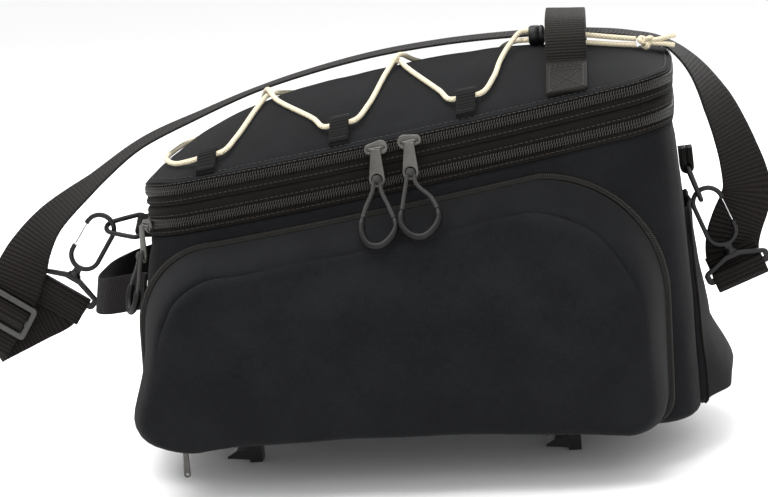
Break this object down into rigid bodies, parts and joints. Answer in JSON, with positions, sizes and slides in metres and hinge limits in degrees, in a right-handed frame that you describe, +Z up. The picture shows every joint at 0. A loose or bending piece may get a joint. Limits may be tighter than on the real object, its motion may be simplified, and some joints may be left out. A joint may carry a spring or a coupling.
{
  "type": "bicycle rack bag",
  "caption": "Soft wedge-shaped trunk bag for a bicycle luggage rack, with a zipped lid, a pannier pocket on each side, laced elastic cord, a carry handle and a clip-on shoulder strap.",
  "frame": {"origin": "middle of the adapter's flat underside, where the bag sits on the rack", "axes": "+X along the bag to its high end, -Y the near long side with the pulls of the top zips, +Z up"},
  "size_m": [0.5715, 0.312, 0.2974],
  "materials": {
    "shell": "woven polyester, matt",
    "zip_tape": "zip tape and coated coil",
    "webbing": "ribbed webbing",
    "elastic": "braided sleeve",
    "loop_cord": "braided cord",
    "plastic": "moulded, matt",
    "metal": "gunmetal",
    "wire": "bright wire"
  },
  "bodies": {
    "root": {"main_compartment": "shell", "lid": "shell", "end_pouch": "shell", "side_pocket_near": "shell", "side_pocket_far": "shell", "zip_band": "zip_tape", "zip_chain_lower": "zip_tape", "zip_chain_upper": "zip_tape", "pocket_zip_near": "zip_tape", "pocket_zip_far": "zip_tape", "adapter_plate": "plastic", "adapter_rail": "plastic", "cord_lock": "plastic", "rack_hook_low_near": "plastic", "rack_hook_low_far": "plastic", "rack_hook_high_near": "plastic", "rack_hook_high_far": "plastic", "cord_tab_near_1": "webbing", "cord_tab_near_2": "webbing", "cord_tab_near_3": "webbing", "cord_tab_far_1": "webbing", "cord_tab_far_2": "webbing", "cord_tab_far_3": "webbing", "elastic_cord_1": "elastic", "elastic_cord_2": "elastic", "cord_knot": "elastic", "carry_handle": "webbing", "end_handle": "webbing", "shoulder_strap": "webbing", "snap_hook_low": "plastic", "swivel_eye_low": "plastic", "ring_low": "plastic", "ring_tab_low": "webbing", "snap_hook_high": "plastic", "swivel_eye_high": "plastic", "ring_high": "plastic", "ring_tab_high": "webbing", "strap_slider": "metal", "zip_slider_top_1": "metal", "zip_slider_top_2": "metal", "zip_slider_end": "metal", "zip_slider_pocket_near": "metal", "zip_slider_pocket_far": "metal"},
    "gate_low": {"snap_gate_low": "wire"},
    "gate_high": {"snap_gate_high": "wire"},
    "pull_top_1": {"pull_tab_top_1": "metal", "pull_loop_top_1": "loop_cord"},
    "pull_top_2": {"pull_tab_top_2": "metal", "pull_loop_top_2": "loop_cord"},
    "pull_end": {"pull_tab_end": "metal", "pull_loop_end": "loop_cord"},
    "pull_pocket_near": {"pull_tab_pocket_near": "metal"},
    "pull_pocket_far": {"pull_tab_pocket_far": "metal"}
  },
  "joints": [
    {"name": "gate_low_hinge", "type": "hinge", "parent": "root", "child": "gate_low", "pos_m": [-0.22983, 0, 0.13638], "axis": [0, 1, 0], "range_deg": [0, 22], "stiffness_Nm_per_rad": 0.05, "springref_deg": -11.46},
    {"name": "gate_high_hinge", "type": "hinge", "parent": "root", "child": "gate_high", "pos_m": [0.22864, 0, 0.13173], "axis": [0, -1, 0], "range_deg": [0, 22], "stiffness_Nm_per_rad": 0.05, "springref_deg": -11.46},
    {"name": "pull_top_1_hinge", "type": "hinge", "parent": "root", "child": "pull_top_1", "pos_m": [-0.004, -0.1086, 0.20838], "axis": [-1, 0, 0], "range_deg": [0, 80]},
    {"name": "pull_top_2_hinge", "type": "hinge", "parent": "root", "child": "pull_top_2", "pos_m": [0.018, -0.1086, 0.21204], "axis": [-1, 0, 0], "range_deg": [0, 80]},
    {"name": "pull_end_hinge", "type": "hinge", "parent": "root", "child": "pull_end", "pos_m": [-0.1652, -0.08565, 0.16134], "axis": [-0.4695, 0.8829, 0], "range_deg": [0, 80]},
    {"name": "pull_pocket_near_hinge", "type": "hinge", "parent": "root", "child": "pull_pocket_near", "pos_m": [-0.14289, -0.11178, 0.0204], "axis": [-1, 0, 0], "range_deg": [0, 80]},
    {"name": "pull_pocket_far_hinge", "type": "hinge", "parent": "root", "child": "pull_pocket_far", "pos_m": [-0.14289, 0.11178, 0.0204], "axis": [1, 0, 0], "range_deg": [0, 80]}
  ]
}
